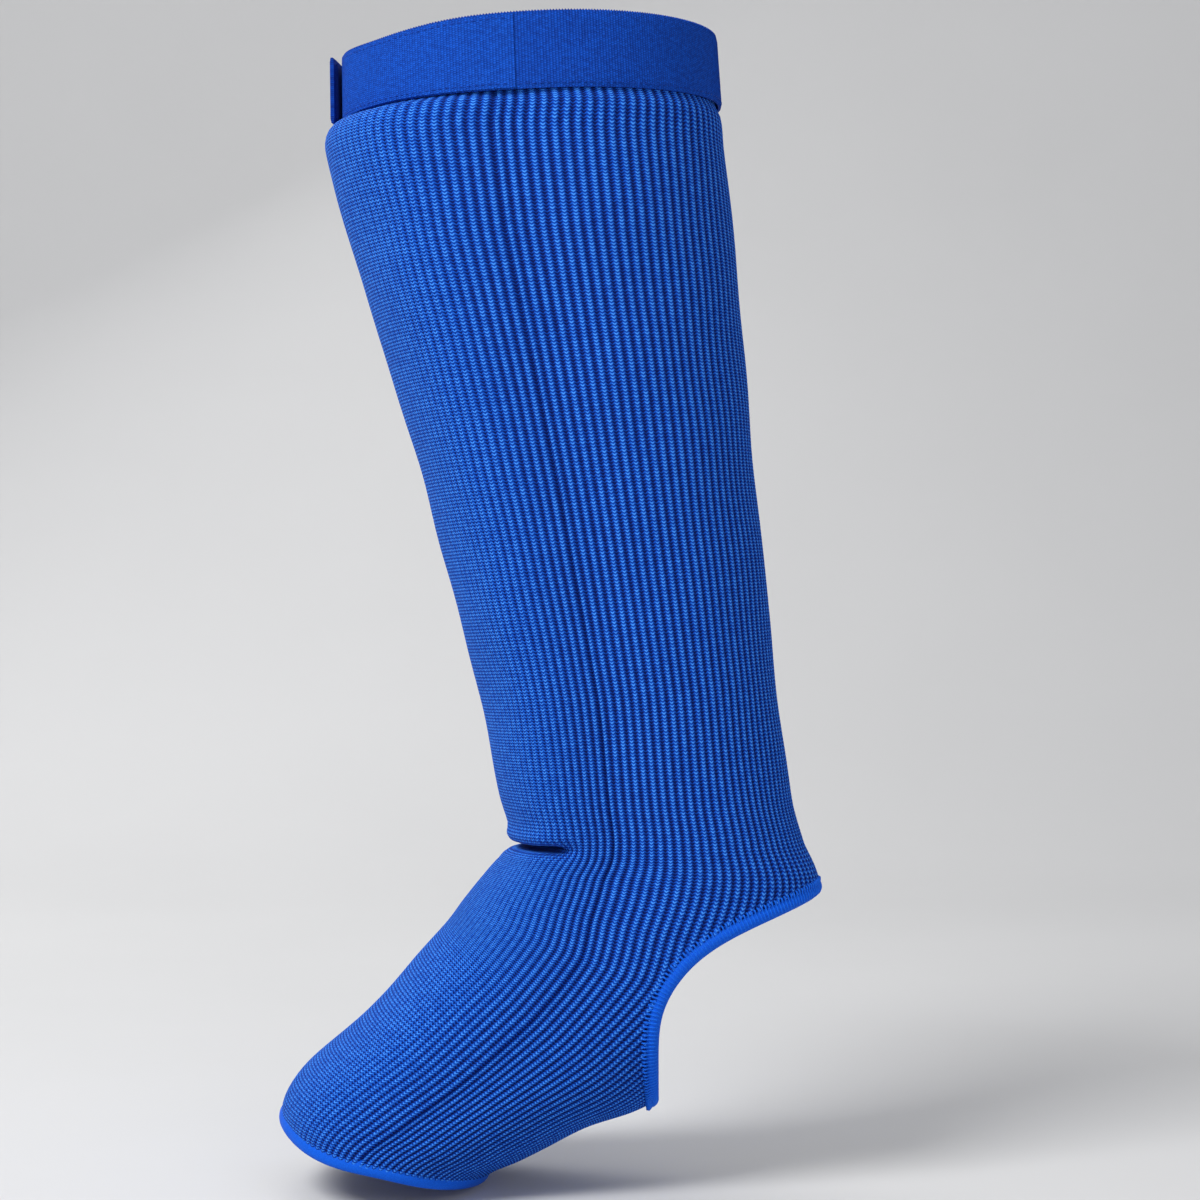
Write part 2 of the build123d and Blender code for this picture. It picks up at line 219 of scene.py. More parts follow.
def station_surface(station, angle, lift, padded=True, nominal=None):
    """Points at true angles round cross-sections, lifted off the leg, in metres."""
    nominal = angle if nominal is None else nominal
    front, back, width, pad = station[..., 0:2], station[..., 2:4], station[..., 4], station[..., 5]
    line = back - front
    length = np.hypot(line[..., 0], line[..., 1])
    across = line / length[..., None]
    depth = (length - 2 * KNIT_OUTSIDE - pad) / 2
    width = width - KNIT_OUTSIDE
    turn = np.radians(angle)
    nx, ny = -np.cos(turn) / depth, np.sin(turn) / width
    size = np.hypot(nx, ny)
    height = lift + (pad * padding_share(nominal) if padded else 0)
    along = pad + KNIT_OUTSIDE + depth - depth * np.cos(turn) + nx / size * height
    aside = width * np.sin(turn) + ny / size * height
    x = front[..., 0] + across[..., 0] * along
    z = front[..., 1] + across[..., 1] * along
    return np.stack([x, aside, z], -1) * MM


def surface(place, angle, lift=KNIT_OUTSIDE, padded=True):
    return station_surface(stations(place), swung(place, angle), lift, padded, angle)


def wale_table():
    """Angles of evenly spaced wales round the calf, from -180 to 180 degrees."""
    angles = np.linspace(-180, 180, 1441)
    ring = surface(np.full_like(angles, GAUGE_PLACE), angles)
    steps = np.linalg.norm(np.diff(ring, axis=0), axis=1)
    return np.concatenate([[0], np.cumsum(steps)]) / steps.sum() * RIBS, angles


WALE_AT, WALE_ANGLES = wale_table()


def wale_of(angle):
    return float(np.interp(angle, WALE_ANGLES, WALE_AT))


def softness(points):
    """Small slow waves of soft fabric, in metres."""
    rng = np.random.default_rng(SEED)
    total = np.zeros(points.shape[:-1])
    for _ in range(SOFT_WAVES):
        direction = rng.normal(size=3)
        direction /= np.linalg.norm(direction)
        length = rng.uniform(*SOFT_LENGTHS) * MM
        total += np.sin(points @ direction * (2 * pi / length) + rng.uniform(0, 2 * pi))
    return total * SOFT_HEIGHT * MM


# ---------------------------------------------------------------- mesh building

WALL_ANGLE = radians(50)  # a shell's edges that turn more than this are sharp


def new_object(name, verts, faces, material, uvs=None):
    mesh = bpy.data.meshes.new(name)
    mesh.from_pydata(np.asarray(verts).reshape(-1, 3).tolist(), [], faces)
    if uvs is not None:
        layer = mesh.uv_layers.new(name="knit")
        loops = np.empty(len(mesh.loops), int)
        mesh.loops.foreach_get("vertex_index", loops)
        layer.data.foreach_set("uv", np.asarray(uvs)[loops].astype(np.float32).ravel())
    mesh.validate()
    obj = bpy.data.objects.new(name, mesh)
    bpy.context.scene.collection.objects.link(obj)
    mesh.materials.append(material)
    mesh.polygons.foreach_set("use_smooth", [True] * len(mesh.polygons))
    mesh.update()
    return obj


def shell_faces(keep, rows, columns, wrap=False):
    """Faces of a closed thin shell over a grid: outside, inside, and walls round every free edge."""
    count = rows * columns
    quads = []
    spans = columns if wrap else columns - 1
    for r in range(rows - 1):
        for c in range(spans):
            if keep is None or keep[r, c]:
                n = (c + 1) % columns
                here, below = r * columns, (r + 1) * columns
                quads.append((here + c, here + n, below + n, below + c))
    outside = np.array(quads)
    edges = {}
    for quad in quads:
        for a, b in zip(quad, quad[1:] + quad[:1]):
            if (b, a) in edges:
                del edges[(b, a)]
            else:
                edges[(a, b)] = True
    inside = outside[:, ::-1] + count
    walls = [(b, a, a + count, b + count) for a, b in edges]
    return outside.tolist() + inside.tolist() + walls


def sharpen_walls(obj):
    """Flat thin walls and smooth fabric faces on one shell."""
    mesh = obj.data
    bm = bmesh.new()
    bm.from_mesh(mesh)
    for edge in bm.edges:
        if len(edge.link_faces) == 2 and edge.calc_face_angle(0) > WALL_ANGLE:
            edge.smooth = False
    bm.to_mesh(mesh)
    bm.free()


def shell(name, outer, inner, material, keep=None, wrap=False, uvs=None, relief=None):
    """A closed thin shell from grids of outer and inner points."""
    rows, columns = outer.shape[:2]
    verts = np.concatenate([outer.reshape(-1, 3), inner.reshape(-1, 3)])
    if uvs is not None:
        uvs = np.concatenate([uvs.reshape(-1, 2)] * 2)
    obj = new_object(name, verts, shell_faces(keep, rows, columns, wrap), material, uvs)
    if relief is not None:
        layer = obj.data.attributes.new("relief", "FLOAT", "POINT")
        layer.data.foreach_set("value", np.tile(relief.ravel(), 2).astype(np.float32))
    drop_loose(obj)
    sharpen_walls(obj)
    return obj


def drop_loose(obj):
    bm = bmesh.new()
    bm.from_mesh(obj.data)
    bmesh.ops.delete(bm, geom=[v for v in bm.verts if not v.link_faces], context="VERTS")
    bm.to_mesh(obj.data)
    bm.free()


def tube_mesh(paths, radius, sides, closed=False, flat=1.0):
    """Verts and faces of round threads along paths; each path is (points, normals)."""
    verts, faces = [], []
    for points, normals in paths:
        points, normals = np.asarray(points), np.asarray(normals)
        base = sum(len(v) for v in verts)
        if closed:
            tangent = np.roll(points, -1, 0) - np.roll(points, 1, 0)
        else:
            tangent = np.gradient(points, axis=0)
        tangent /= np.linalg.norm(tangent, axis=1, keepdims=True)
        side = np.cross(tangent, normals)
        side /= np.linalg.norm(side, axis=1, keepdims=True)
        up = np.cross(side, tangent)
        turn = np.linspace(0, 2 * pi, sides, endpoint=False)
        reach = np.broadcast_to(np.asarray(radius, float), len(points))[:, None, None]
        wide = side[:, None] * np.cos(turn)[None, :, None]
        high = up[:, None] * np.sin(turn)[None, :, None] * flat
        ring = points[:, None] + reach * (wide + high)
        verts.append(ring.reshape(-1, 3))
        count = len(points)
        for i in range(count if closed else count - 1):
            here, there = base + i * sides, base + (i + 1) % count * sides
            for k in range(sides):
                m = (k + 1) % sides
                faces.append((here + k, here + m, there + m, there + k))
        if not closed:
            faces.append(tuple(base + k for k in range(sides))[::-1])
            faces.append(tuple(base + (count - 1) * sides + k for k in range(sides)))
    return np.concatenate(verts), faces


# ---------------------------------------------------------------- materials


class Value:
    """A shader value that can be used in plain arithmetic."""

    def __init__(self, tree, socket):
        self.tree, self.socket = tree, socket

    def math(self, operation, *others):
        node = self.tree.nodes.new("ShaderNodeMath")
        node.operation = operation
        for slot, item in zip(node.inputs, (self, *others)):
            if isinstance(item, Value):
                self.tree.links.new(item.socket, slot)
            else:
                slot.default_value = item
        return Value(self.tree, node.outputs[0])

    def __add__(self, other):
        return self.math("ADD", other)

    def __sub__(self, other):
        return self.math("SUBTRACT", other)

    def __mul__(self, other):
        return self.math("MULTIPLY", other)

    def __pow__(self, other):
        return self.math("POWER", other)

    def less_from(self, number):
        return self.math("MULTIPLY", -1) + number

    def fract(self):
        return self.math("FRACT")

    def floor(self):
        return self.math("FLOOR")

    def wave(self):
        """0 at whole numbers, 1 half way between them."""
        return (self * (2 * pi)).math("COSINE") * -0.5 + 0.5

    def peak(self):
        """0 in the middle of each unit, 1 at whole numbers."""
        return (self.fract() - 0.5).math("ABSOLUTE") * 2


def material(name, roughness=0.85):
    """A node material with its Principled shader, ready for colour and bump."""
    mat = bpy.data.materials.new(name)
    mat.use_nodes = True
    tree = mat.node_tree
    shader = tree.nodes["Principled BSDF"]
    shader.inputs["Roughness"].default_value = roughness
    shader.inputs["Specular IOR Level"].default_value = 0.12
    return mat, tree, shader


def node(tree, kind, **inputs):
    made = tree.nodes.new(kind)
    for key, item in inputs.items():
        slot = made.inputs[key.replace("_", " ")]
        if isinstance(item, Value):
            tree.links.new(item.socket, slot)
        elif hasattr(item, "is_output"):
            tree.links.new(item, slot)
        else:
            slot.default_value = item
    return made


def knit_coordinates(tree):
    uv = tree.nodes.new("ShaderNodeUVMap")
    uv.uv_map = "knit"
    split = node(tree, "ShaderNodeSeparateXYZ", Vector=uv.outputs["UV"])
    return Value(tree, split.outputs["X"]), Value(tree, split.outputs["Y"])


def ramp(tree, factor, *stops):
    made = node(tree, "ShaderNodeValToRGB", Fac=factor)
    elements = made.color_ramp.elements
    while len(elements) < len(stops):
        elements.new(0.5)
    for element, (position, colour) in zip(elements, stops):
        element.position = position
        element.color = (*colour, 1)
    return made.outputs["Color"]


def cell_noise(tree, x, y):
    point = node(tree, "ShaderNodeCombineXYZ", X=x, Y=y)
    noise = node(tree, "ShaderNodeTexWhiteNoise", Vector=point.outputs["Vector"])
    return Value(tree, noise.outputs["Value"])


def finish_material(tree, shader, colour, height, distance, strength=1.0, sheen=0.0, tint=(0.3, 0.5, 1)):
    bump = node(tree, "ShaderNodeBump", Height=height, Strength=strength, Distance=distance * MM)
    tree.links.new(bump.outputs["Normal"], shader.inputs["Normal"])
    tree.links.new(colour, shader.inputs["Base Color"])
    shader.inputs["Sheen Weight"].default_value = sheen
    shader.inputs["Sheen Roughness"].default_value = 0.45
    shader.inputs["Sheen Tint"].default_value = (*tint, 1)


def knit_material():
    """Rib knit: V stitches in two wales on each rib, a laddered groove between ribs darkened with
    painted shade.

    Where a pad stretches the knit flat, each wale stands alone between thin dotted lines of painted
    shade.
    """
    mat, tree, shader = material("rib_knit", 0.9)
    rib, course = knit_coordinates(tree)
    stretch = node(tree, "ShaderNodeAttribute")
    stretch.attribute_name = "relief"
    relief = Value(tree, stretch.outputs["Fac"])
    wale = rib * 2 + 0.5
    across = wale.peak()
    phase = course + across * 0.5
    loop = phase.wave()
    gap = loop.less_from(1)
    groove = rib.wave().less_from(1) ** 2.5
    slot = (rib * 2).wave().less_from(1) ** 3.0
    # Painted shade in the grooves between ribs and, where the knit lies flat, in the slots between
    # wales, deeper between stitch rows; this also sinks the bump.
    hollow_depth_and_shade = groove * relief * (gap * 0.35 + 0.75) + slot * relief.less_from(1) * (gap * 0.6 + 0.25)
    speckle = cell_noise(tree, wale.floor(), phase.floor())
    # Stitch crowns: they raise the bump, and the tone below paints them lighter as a painted highlight.
    stitch = loop * (across * across * -0.45 + 1)
    height = stitch * 0.6 - hollow_depth_and_shade
    # Tone: painted shade and highlight as above, random speckle per stitch, and painted light a little
    # stronger where the knit lies flat over the pad.
    tone = stitch * 0.62 + speckle * 0.14 - hollow_depth_and_shade * 0.75 + relief.less_from(1) * 0.05 + 0.24
    colour = ramp(
        tree, tone,
        (0.0, (0.0008, 0.008, 0.10)),
        (0.3, (0.0015, 0.033, 0.29)),
        (0.6, (0.004, 0.09, 0.55)),
        (0.9, (0.06, 0.30, 0.90)),
    )
    finish_material(tree, shader, colour, height, 0.3, 0.8, 0.06)
    return mat


def woven_material(name, deep, light, columns, rows, bump=0.25):
    """Woven elastic: upright cords crossed by fine weft floats."""
    mat, tree, shader = material(name, 0.8)
    u, v = knit_coordinates(tree)
    cord = (u * columns).wave()
    shift = (u * columns).floor() * 0.5
    weft = (v * rows + shift).wave()
    speckle = cell_noise(tree, (u * columns).floor(), (v * rows + shift).floor())
    height = cord * 0.4 + weft * 0.6
    # Tone: painted light and shade on the weave's bump, lighter on cord and weft crowns and darker
    # between them, with random speckle per float.
    tone = cord * 0.3 + weft * 0.35 + speckle * 0.35
    colour = ramp(tree, tone, (0.0, deep), (1.0, light))
    finish_material(tree, shader, colour, height, bump, 0.8, 0.04)
    return mat


def plain_material(name, deep, light, scale, bump, roughness=0.85, sheen=0.1):
    """Cloth or foam with a fine mottled grain from object-space noise."""
    mat, tree, shader = material(name, roughness)
    where = tree.nodes.new("ShaderNodeTexCoord")
    noise = node(tree, "ShaderNodeTexNoise", Vector=where.outputs["Object"], Scale=scale, Detail=4)
    grain = Value(tree, noise.outputs["Fac"])
    colour = ramp(tree, grain, (0.3, deep), (0.7, light))
    finish_material(tree, shader, colour, grain, bump, 0.7, sheen)
    return mat


KNIT_MAT = knit_material()
BAND_MAT = woven_material("woven_elastic", (0.0008, 0.016, 0.16), (0.004, 0.085, 0.56), 1, 1)
LINING_MAT = plain_material("lining", (0.003, 0.03, 0.24), (0.006, 0.07, 0.42), 900, 0.2)
FOAM_MAT = plain_material("foam", (0.55, 0.55, 0.53), (0.72, 0.72, 0.7), 1500, 0.3, 0.9)
BINDING_MAT = plain_material("binding", (0.001, 0.075, 0.55), (0.004, 0.12, 0.72), 2600, 0.2, 0.75)
THREAD_MAT = plain_material("thread", (0.002, 0.09, 0.6), (0.006, 0.15, 0.8), 3000, 0.1, 0.6)
SEAM_THREAD_MAT = plain_material("seam_thread", (0.001, 0.02, 0.2), (0.004, 0.06, 0.42), 3000, 0.1, 0.6)
ELASTIC_MAT = plain_material("elastic_cord", (0.6, 0.6, 0.56), (0.75, 0.74, 0.7), 1800, 0.1, 0.5)
LOOP_MAT = woven_material("loop_pile", (0.001, 0.022, 0.2), (0.006, 0.10, 0.62), 1, 1, 0.3)
HOOK_MAT = plain_material("hook_tape", (0.001, 0.012, 0.14), (0.005, 0.045, 0.32), 2000, 0.4, 0.5)


# ---------------------------------------------------------------- placing pieces


def takes_place(nodes):
    """A piece stands for CAD nodes, which are hidden."""
    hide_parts(*nodes)


def on_ankle(obj, *nodes):
    """A piece of the sleeve with its transform baked into its points and no body to follow."""
    takes_place(nodes)
    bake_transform(obj)


def on_body(obj, body, *nodes):
    takes_place(nodes)
    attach(obj, body)


# ---------------------------------------------------------------- bound edges

EDGE_LIFT = KNIT_OUTSIDE - KNIT / 2  # bindings run in the middle of the knit


def run_length(points):
    """How far each point of a line is from its start, along the line."""
    return np.concatenate([[0], np.cumsum(np.linalg.norm(np.diff(points, axis=0), axis=1))])


def side_view_curve(edge, samples=200):
    """A bound edge's centreline in the mid-plane (X, Z in metres), by a cubic through its points."""
    start, way, end = edge
    first, last = (surface(np.array(p), np.array(a), EDGE_LIFT)[[0, 2]] for p, a in (start, end))
    points = np.array([first, *[np.array(p) * MM for p in way], last])
    chord = run_length(points)
    knots = np.linspace(0, chord[-1], samples)
    return np.stack([natural_cubic(chord, points[:, i], knots) for i in (0, 1)], -1)


def natural_cubic(x, y, at):
    """A natural cubic spline through (x, y), read at new places."""
    n = len(x)
    h = np.diff(x)
    matrix, right = np.eye(n), np.zeros(n)
    for i in range(1, n - 1):
        matrix[i, i - 1:i + 2] = h[i - 1], 2 * (h[i - 1] + h[i]), h[i]
        right[i] = 6 * ((y[i + 1] - y[i]) / h[i] - (y[i] - y[i - 1]) / h[i - 1])
    curve = np.linalg.solve(matrix, right)
    i = np.clip(np.searchsorted(x, at) - 1, 0, n - 2)
    a, b = (x[i + 1] - at) / h[i], (at - x[i]) / h[i]
    bend = (a**3 - a) * curve[i] + (b**3 - b) * curve[i + 1]
    return a * y[i] + b * y[i + 1] + bend * h[i] ** 2 / 6


def beyond(curve, points, side):
    """True for points past the curve in side view; side is +1 or -1."""
    flat = points[..., [0, 2]].reshape(-1, 2)
    result = np.zeros(len(flat), bool)
    tangent = np.gradient(curve, axis=0)
    for start in range(0, len(flat), BLOCK):
        block = flat[start:start + BLOCK]
        gap = block[:, None] - curve[None]
        nearest = np.argmin((gap**2).sum(-1), 1)
        near = gap[np.arange(len(block)), nearest]
        t = tangent[nearest]
        result[start:start + BLOCK] = (t[:, 0] * near[:, 1] - t[:, 1] * near[:, 0]) * side > 0
    return result.reshape(points.shape[:-1])


def edge_loop(edge, first, last, count):
    """Points and outward normals round the tube along a bound edge, both sides."""
    curve = side_view_curve(edge)
    shares = (1 - np.cos(np.linspace(0, pi, count + 1))) / 2
    along = np.linspace(0, 1, len(curve))
    at = np.stack([np.interp(shares, along, curve[:, i]) for i in (0, 1)], -1) / MM
    low, high = np.full(len(at), float(first)), np.full(len(at), float(last))

    def side(place):
        fx, fz, bx, bz = stations(place)[:, :4].T
        return (bx - fx) * (at[:, 1] - fz) - (bz - fz) * (at[:, 0] - fx)

    rising = side(high) > side(low)
    for _ in range(HALVINGS):
        middle = (low + high) / 2
        up = (side(middle) > 0) == rising
        high, low = np.where(up, middle, high), np.where(up, low, middle)
    place = (low + high) / 2
    s = stations(place)
    line = s[:, 2:4] - s[:, 0:2]
    low, high = np.zeros(len(at)), np.full(len(at), 180.0)
    for _ in range(HALVINGS):
        middle = (low + high) / 2
        gap = surface(place, middle, EDGE_LIFT)[:, [0, 2]] / MM - at
        short = (gap * line).sum(1) < 0
        low, high = np.where(short, middle, low), np.where(short, high, middle)
    angle = (low + high) / 2
    place[0], angle[0], place[-1], angle[-1] = *edge[0], *edge[2]
    place = np.concatenate([place, place[-2:0:-1]])
    angle = np.concatenate([angle, -angle[-2:0:-1]])
    points = surface(place, angle, EDGE_LIFT)
    normals = surface(place, angle, EDGE_LIFT + 1) - points
    return points, normals / np.linalg.norm(normals, axis=1, keepdims=True)


def even_loop(points, normals, count):
    """The loop again with evenly spaced points."""
    closed = np.concatenate([points, points[:1]])
    facing = np.concatenate([normals, normals[:1]])
    run = run_length(closed)
    at = np.linspace(0, run[-1], count, endpoint=False)
    points = np.stack([np.interp(at, run, closed[:, i]) for i in range(3)], -1)
    normals = np.stack([np.interp(at, run, facing[:, i]) for i in range(3)], -1)
    return points, normals / np.linalg.norm(normals, axis=1, keepdims=True)


# ---------------------------------------------------------------- the knit sleeve


def relief_share(angle):
    """How deep the ribs stand: flat over the pad, full round the back."""
    start, end = RELIEF_ANGLES
    fade = np.clip((np.abs(angle) - start) / (end - start), 0, 1)
    return FRONT_RELIEF + (1 - FRONT_RELIEF) * fade * fade * (3 - 2 * fade)


def crease_fold(place, angle, outer):
    """Millimetres that the knit is drawn in at the ankle fold; the lips beside it bulge out."""
    middle = surface(np.full_like(place, CREASE), angle)
    off = np.linalg.norm(outer - middle, axis=-1) / MM
    full, gone = CREASE_FADE
    fade = np.clip((gone - np.abs(angle)) / (gone - full), 0, 1)
    fade = fade * fade * (3 - 2 * fade)
    front, side = CREASE_HALF_WIDTH
    width = side + (front - side) * fade
    fold = CREASE_DEPTH * np.exp(-((off / width) ** 2))
    lip_off, lip_half = CREASE_LIP_PLACE
    lips = CREASE_LIP * np.exp(-(((off - lip_off) / lip_half) ** 2))
    return (fold - lips) * fade


def course_rows(first, last):
    """Courses at which a knit panel has mesh rows, closer together at the ankle fold."""
    limits = sorted({first, last, *(p for p in CREASE_PLACES if first < p < last)})
    rows = []
    for low, high in zip(limits, limits[1:]):
        top, bottom = np.interp([low, high], np.arange(len(COURSE_AT)), COURSE_AT)
        folded = CREASE_PLACES[0] <= low < CREASE_PLACES[1]
        step = CREASE_COURSES_PER_ROW if folded else COURSES_PER_ROW
        rows += list(np.linspace(top, bottom, int(round((bottom - top) / step)) + 1)[:-1])
    return np.array([*rows, bottom])


def knit_panel(name, start_angle, end_angle, first, last):
    """A closed shell of ribbed knit between two wales and two places along the tube."""
    start, end = wale_of(start_angle), wale_of(end_angle)
    if end < start:
        end += RIBS
    columns = int(round((end - start) * RIB_STEPS)) + 1
    wales = np.linspace(start, end, columns)
    angles = np.interp(wales % RIBS, WALE_AT, WALE_ANGLES)
    courses = course_rows(first, last)
    places = np.interp(courses, COURSE_AT, np.arange(len(COURSE_AT)))
    place, angle = np.meshgrid(places, angles, indexing="ij")
    wale = np.broadcast_to(wales, place.shape)
    course = np.broadcast_to(courses[:, None], place.shape)
    outer = surface(place, angle)
    inner = surface(place, angle, KNIT_INSIDE)
    normal = outer - inner
    normal /= np.linalg.norm(normal, axis=-1, keepdims=True)
    groove = ((1 + np.cos(2 * pi * wale)) / 2) ** 3
    seam = np.minimum(np.abs(wale - wale_of(SEAM_ANGLE)), np.abs(wale - wale_of(-SEAM_ANGLE)))
    dip = np.exp(-((seam / SEAM_DIP_RIBS) ** 2)) * SEAM_DIP
    fold = crease_fold(place, angle, outer)
    relief = relief_share(angle)
    height = softness(outer) - MM * (RIB_RELIEF * relief * groove + dip + fold)
    outer = outer + normal * height[..., None]
    inner = inner + normal * (softness(inner) * 0.3 - MM * fold)[..., None]
    centres = (outer[:-1, :-1] + outer[1:, 1:]) / 2
    keep = ~beyond(side_view_curve(HEEL_EDGE), centres, 1)
    cell_place, cell_angle = place[:-1, :-1], angle[:-1, :-1]
    keep |= (cell_place < HEEL_TOP - CUT_FREE[0]) | (np.abs(cell_angle) < CUT_FREE[1])
    keep &= ~(beyond(side_view_curve(TOE_EDGE), centres, -1) & (cell_place > FOOT_START))
    uvs = np.stack([wale, course], -1)
    return shell(name, outer, inner, KNIT_MAT, keep, False, uvs, relief)


def build_sleeve():
    fronts = (-SEAM_ANGLE, SEAM_ANGLE)
    backs = (SEAM_ANGLE, -SEAM_ANGLE)
    on_body(knit_panel("leg_knit_front", *fronts, 0, LEG_END), "shin", "leg_sleeve")
    on_body(knit_panel("leg_knit_back", *backs, 0, LEG_END), "shin", "leg_sleeve")
    on_ankle(knit_panel("ankle_knit_front", *fronts, LEG_END, TUBE_END), "ankle_knit", "foot_sleeve")
    on_ankle(knit_panel("ankle_knit_back", *backs, LEG_END, TUBE_END), "ankle_knit", "foot_sleeve")


def layer_grid(first, last, reach):
    places = np.linspace(first, last, LAYER_ROWS)
    return np.meshgrid(places, np.linspace(-reach, reach, LAYER_COLUMNS), indexing="ij")


def foam_pad(name, first, last):
    """A foam pad as a closed solid between the lining and the knit."""
    place, angle = layer_grid(first, last, PAD_EDGE_ANGLE)
    outer = surface(place, angle, PAD_INSIDE)
    inner = surface(place, angle, PAD_INSIDE, False)
    return shell(name, outer, inner, FOAM_MAT, uvs=np.stack([angle, place], -1))


def pocket_lining(name, first, last, turns):
    """A lining behind a pad; at its ends it turns out to the knit over so many stations' spacing."""
    place, angle = layer_grid(first, last, LINING_ANGLE)
    closed = np.maximum(1 - (place - first) / turns[0], 1 - (last - place) / turns[1])
    closed = np.clip(closed, 0, 1)[..., None]
    outer = surface(place, angle, LINING, False) * (1 - closed) + surface(place, angle, LINING) * closed
    inner = surface(place, angle, 0, False) * (1 - closed) + surface(place, angle, 0) * closed
    return shell(name, outer, inner, LINING_MAT, uvs=np.stack([angle, place], -1))


def build_pockets():
    on_ankle(foam_pad("shin_foam", *SHIN_FOAM), "shin_pad")
    on_ankle(foam_pad("instep_foam", *INSTEP_FOAM), "instep_pad")
    shin = pocket_lining("shin_pocket_lining", *SHIN_LINING, SHIN_LINING_TURNS)
    on_ankle(shin, "shin_lining")
    instep = pocket_lining("instep_pocket_lining", *INSTEP_LINING, INSTEP_LINING_TURNS)
    on_ankle(instep, "instep_lining")


def ribbon(loop, half_width):
    """Verts and faces of a flattened binding along a loop of points and normals."""
    return tube_mesh([loop], half_width * MM, BINDING_SIDES, True, BINDING_HALF_HEIGHT / half_width)


def build_bindings():
    heel = even_loop(*edge_loop(HEEL_EDGE, HEEL_TOP - 0.5, FOOT_START + 1, 80), BINDING_POINTS)
    binding = new_object("heel_edge_binding", *ribbon(heel, HEEL_HALF_WIDTH), BINDING_MAT)
    on_ankle(binding, "heel_binding")
    on_ankle(overlock_threads("heel_overlock_threads", heel, HEEL_EDGE, 1), "heel_overlock")
    toe = even_loop(*edge_loop(TOE_EDGE, FOOT_START + 1, TUBE_END, 60), BINDING_POINTS)
    verts, faces = ribbon(toe, HEM_HALF_WIDTH)
    bore, bore_faces = tube_mesh([toe], ELASTIC_RADIUS * BORE_SHARE * MM, ELASTIC_SIDES, True)
    faces += [tuple(len(verts) + i for i in face[::-1]) for face in bore_faces]
    hem = new_object("toe_hem_binding", np.concatenate([verts, bore]), faces, BINDING_MAT)
    on_ankle(hem, "toe_binding")
    verts, faces = tube_mesh([toe], ELASTIC_RADIUS * MM, ELASTIC_SIDES, True)
    on_ankle(new_object("toe_hem_elastic", verts, faces, ELASTIC_MAT), "toe_elastic")


def overlock_threads(name, loop, edge, side):
    """Threads across a binding's outside and over on to the knit; side is the edge's cut side."""
    points, normals = even_loop(*loop, OVERLOCK_THREADS)
    tangent = np.roll(points, -1, 0) - np.roll(points, 1, 0)
    tangent /= np.linalg.norm(tangent, axis=1, keepdims=True)
    free = np.cross(tangent, normals)
    outside = beyond(side_view_curve(edge), points + free * 2 * MM, side)
    free = free * (1 if outside.mean() > 0.5 else -1)
    start, end = HEEL_HALF_WIDTH * OVERLOCK_START, HEEL_HALF_WIDTH + OVERLOCK_REACH
    across = np.linspace(start, end, OVERLOCK_POINTS)
    ellipse = BINDING_HALF_HEIGHT * np.sqrt(np.clip(1 - (across / HEEL_HALF_WIDTH) ** 2, 0, 1))
    high = np.maximum(ellipse, KNIT / 2) + THREAD_GAP
    high[-1] = 0
    paths = []
    for p, n, f in zip(points, normals, free):
        line = p + MM * (n * high[:, None] - f * across[:, None])
        paths.append((line, np.broadcast_to(n, line.shape)))
    thick = np.interp(across, (start, 0), OVERLOCK_RADII) * MM
    verts, faces = tube_mesh(paths, thick, THREAD_SIDES)
    return new_object(name, verts, faces, THREAD_MAT)


def stitch_rows(name, rows, pitch, length, radius, mat):
    """Separate rounded threads laid along rows of (points, normals)."""
    paths = []
    steps = len(STITCH_SHAPE)
    arch = np.cos(np.linspace(-pi / 2, pi / 2, steps))[:, None] * STITCH_ARCH - STITCH_SINK
    for points, normals in rows:
        run = run_length(points)
        for middle in np.arange(pitch / 2, run[-1] / MM, pitch) * MM:
            at = middle + np.linspace(-0.5, 0.5, steps) * length * MM
            line = np.stack([np.interp(at, run, points[:, i]) for i in range(3)], -1)
            up = np.stack([np.interp(at, run, normals[:, i]) for i in range(3)], -1)
            paths.append((line + up * arch * MM, up))
    verts, faces = tube_mesh(paths, radius * MM * np.array(STITCH_SHAPE), THREAD_SIDES)
    return new_object(name, verts, faces, mat)


def seam_rows(first, last):
    rows = []
    places = np.linspace(first, last, 200)
    for side in (-1, 1):
        angle = np.full_like(places, side * SEAM_ANGLE)
        points = surface(places, angle, KNIT_OUTSIDE + SEAM_LIFT)
        above = surface(places, angle, KNIT_OUTSIDE + SEAM_LIFT + 1)
        rows.append((points, (above - points) / MM))
    return rows


def pocket_seam(name, first, last):
    rows = seam_rows(first, last)
    return stitch_rows(name, rows, SEAM_PITCH, SEAM_LENGTH, SEAM_RADIUS, SEAM_THREAD_MAT)


def build_seams():
    on_body(pocket_seam("shin_pocket_seam", 1.5, LEG_END), "shin", "shin_pocket_thread")
    on_ankle(pocket_seam("ankle_pocket_seam", LEG_END, FOOT_START), "ankle_pocket_thread")
    on_ankle(pocket_seam("instep_pocket_seam", FOOT_START, 15), "instep_pocket_thread")


# ---------------------------------------------------------------- top band and closure

BAND_LOW = np.array([-124.9, 274.5, 15.4, 281.3, 58.9, 5])
BAND_HIGH = np.array([-125.2, 299.5, 13.6, 306.8, 59.6, 5])
BAND_HEIGHT = 26
BAND_ROWS = 16
TAPE_ROWS = 14
CORD = 1.05  # millimetres between the band's upright cords
CORD_STEPS = 3  # mesh columns in one cord
CORD_RELIEF = 0.1
WEFT = 0.8  # millimetres between weft floats
RIM_TOOTH = 0.5
EDGE_THINNING = 0.45  # share of a strip's thickness that its long edges lose
RIM_ARCH = 1.5  # millimetres that the rim stands higher at the sides
RIM_DIP = 2.4  # millimetres that it sags between front and side
RIM_DIP_ANGLES = (38, 24)  # middle and half width of the dip

